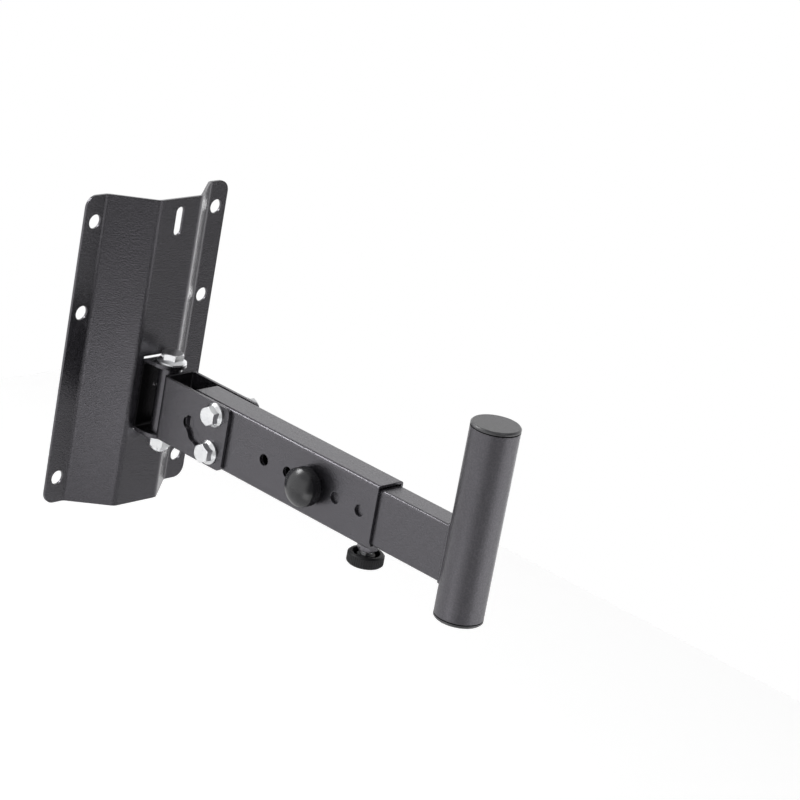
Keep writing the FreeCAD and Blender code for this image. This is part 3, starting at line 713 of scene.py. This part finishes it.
# %% Lay the pole's bead
TUBE_CORNER = 0.002
CORNER_STEPS = 5
POLE_BEAD = 0.0013
tube_low, tube_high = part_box("inner_tube")
tube = middle("inner_tube")
pole = middle("pole_tube")
pole_low, pole_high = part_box("pole_tube")
pole_radius = (pole_high[0] - pole_low[0]) / 2
half_wide = (tube_high[0] - tube_low[0]) / 2
half_high = (tube_high[2] - tube_low[2]) / 2
section = rounded_box(half_wide, half_high, TUBE_CORNER, CORNER_STEPS)
saddle = [(x, pole.y + math.sqrt(pole_radius**2 - x**2), tube.z + z) for x, z in section]
bead.make(
    "pole_weld",
    "extension",
    "powder_coat",
    Matrix.Identity(4),
    path=path_mesh("pole_weld_path", [saddle], closed=True),
    Width=POLE_BEAD,
    Ends=0.0,
)

# %% Lay the straight beads
HINGE_BEAD, BARREL_BEAD = 0.0007, 0.0009
BEHIND_PLATE = -0.0241
HALF_GAP = 0.00025
BEAD_STOPS = 0.006
in_gap = hinge_high[0] + HALF_GAP
bottom, top = hinge_low[2] + BEAD_STOPS, hinge_high[2] - BEAD_STOPS
bead.make(
    "hinge_weld",
    "base",
    "powder_coat",
    Matrix.Identity(4),
    path=path_mesh(
        "hinge_weld_path",
        [
            [(side * in_gap, BEHIND_PLATE, bottom), (side * in_gap, BEHIND_PLATE, top)]
            for side in (1, -1)
        ],
    ),
    Width=HINGE_BEAD,
)
BESIDE_BARREL, BEFORE_BARREL = 0.0042, -0.04895
STITCH_FAR, STITCH_NEAR = 0.020, 0.008
barrel = middle("pivot_barrel")
stitches = [
    (barrel.z + STITCH_FAR, barrel.z + STITCH_NEAR),
    (barrel.z - STITCH_NEAR, barrel.z - STITCH_FAR),
]
bead.make(
    "barrel_weld",
    "yoke",
    "powder_coat",
    Matrix.Identity(4),
    path=path_mesh(
        "barrel_weld_path",
        [
            [(BESIDE_BARREL, BEFORE_BARREL, top), (BESIDE_BARREL, BEFORE_BARREL, bottom)]
            for top, bottom in stitches
        ],
    ),
    Width=BARREL_BEAD,
)

# %% [markdown]
# ## The floor
# The bracket hangs in a plain white room, with a pale paper floor well below it. The paper
# glows faintly for the camera, so that it ends as white as the wall behind it. It is clear
# from below, so that the bracket's underside can be looked at as well.

# %% Lay the floor
FLOOR_HALF = 0.9
FLOOR_DROP = 0.35
WHITE = rgb(1, 1, 1)
PAPER_WHITE = rgb(0.93, 0.93, 0.93)
PAPER_ROUGH = 0.9
PAPER_GLOW = 0.30
floor_height = cad_box[0].z - FLOOR_DROP
floor_mesh = bpy.data.meshes.new("floor")
corners = [(-FLOOR_HALF, -FLOOR_HALF), (FLOOR_HALF, -FLOOR_HALF)]
corners += [(FLOOR_HALF, FLOOR_HALF), (-FLOOR_HALF, FLOOR_HALF)]
floor_mesh.from_pydata([(x, y, floor_height) for x, y in corners], [], [(0, 1, 2, 3)])
floor = bpy.data.objects.new("floor", floor_mesh)
bpy.context.scene.collection.objects.link(floor)

paper = Finish(
    "floor_paper", Base_Color=PAPER_WHITE, Roughness=PAPER_ROUGH, Emission_Color=WHITE
)
seen = paper.node("ShaderNodeLightPath", output="Is Camera Ray")
paper.drive(Emission_Strength=PAPER_GLOW * seen)
underneath = paper.node("ShaderNodeNewGeometry", output="Backfacing")
paper.cover(underneath, paper.node("ShaderNodeBsdfTransparent"))
floor_mesh.materials.append(paper.material)
print("floor at", round(floor_height, 3))

# %% [markdown]
# ## The room
# The camera sees plain white behind the bracket. All other rays see what a photographer builds
# round black goods: white walls, which draw the light tops and flanks, less light straight
# above, which leaves a thin dark line beside each bright edge, and a dark side towards the
# front, above the table's edge, so that the faces turned that way stay deep and grow lighter
# downwards. Two white cards stand low in it: a bright one to the right, whose mirror image is
# the light line along the plate's right fold, and a faint one to the front left, which lifts
# the pole's middle. A card is a round patch of the world, brightest in its middle. The view is
# Standard, so that white stays white.

# %% Paint the room
WALL = 1.15
OVERHEAD = 0.6
DARK_SIDE = 0.08
HIGH_STARTS, HIGH_FULL = 0.42, 0.62
FRONT_STARTS, FRONT_FULL = 0.35, 0.62
TABLE_STARTS, TABLE_FULL = -0.47, -0.29
CARDS = (
    ("along the right fold", 1.2, (0.80, 0.52, -0.30), 24, 6),
    ("down the pole's middle", 0.2, (-0.43, -0.84, -0.36), 15, 4),
)
world = bpy.data.worlds.new("white_room")
world.use_nodes = True
bpy.context.scene.world = world
bpy.context.scene.view_settings.view_transform = "Standard"
sky = Graph(world.node_tree)
seen = sky.node("ShaderNodeLightPath", output="Is Camera Ray")
direction = sky.node("ShaderNodeTexCoord", output="Generated")
behind_it = sky.node("ShaderNodeSeparateXYZ", None, {"Vector": direction}, output="Y")
above_it = sky.node("ShaderNodeSeparateXYZ", None, {"Vector": direction}, output="Z")
high = above_it.step(HIGH_STARTS, HIGH_FULL)
over_table = above_it.step(TABLE_STARTS, TABLE_FULL)
front = (-1.0 * behind_it).step(FRONT_STARTS, FRONT_FULL) * over_table
room = (1.0 - high) * WALL + OVERHEAD * high - (WALL - DARK_SIDE) * front
for shows, strength, towards, edge, full in CARDS:
    between = {0: direction, 1: Vector(towards).normalized()}
    facing = sky.node(
        "ShaderNodeVectorMath", {"operation": "DOT_PRODUCT"}, between, output="Value"
    )
    patch = facing.step(math.cos(math.radians(edge)), math.cos(math.radians(full)))
    room = room + strength * patch
    print("white card that shows", shows)
level = seen + (1.0 - seen) * room
background = world.node_tree.nodes["Background"]
background.inputs["Color"].default_value = WHITE
sky.tree.links.new(level.socket, background.inputs["Strength"])

# %% [markdown]
# ## Soft lamps
# One lamp behind and above rims the upper edges, a weaker one in front opens the faces, and a
# broad one overhead fills the shadows without a mirror image of its own. Two small cards stand
# close by, because what is close lights one piece and hardly reaches the next: one in front of
# the pole draws the light band along its right side, and one by the plate's left slant makes
# the light place low on it.


# %% Hang the lamps
ARM = (0.0, -0.18, 0.0)
SLANT = (-0.036, -0.014, -0.04)


def soft_lamp(name, place, size, watts, gloss=True, aim=ARM):
    """A square lamp hidden from the camera. Glossy surfaces may or may not show it."""
    light = bpy.data.lights.new(name, "AREA")
    light.shape = "SQUARE"
    light.size = size
    light.energy = watts
    lamp = bpy.data.objects.new(name, light)
    bpy.context.scene.collection.objects.link(lamp)
    lamp.location = place
    lamp.rotation_mode = "QUATERNION"
    lamp.rotation_quaternion = (Vector(aim) - Vector(place)).to_track_quat("-Z", "Y")
    lamp.visible_camera = False
    lamp.visible_glossy = gloss
    print(name, "at", place, watts, "W")


soft_lamp("edge_lamp", place=(-0.74, 1.12, 1.30), size=0.60, watts=13.0)
soft_lamp("front_lamp", place=(0.05, -1.50, 1.48), size=0.45, watts=3.5)
soft_lamp("fill_above", place=(0.3, -0.4, 2.0), size=1.6, watts=3.0, gloss=False)
soft_lamp("pole_card", place=(0.11, -0.54, -0.07), size=0.24, watts=0.17, aim=pole)
soft_lamp("slant_card", place=(-0.187, -0.308, -0.163), size=0.12, watts=0.05, aim=SLANT)
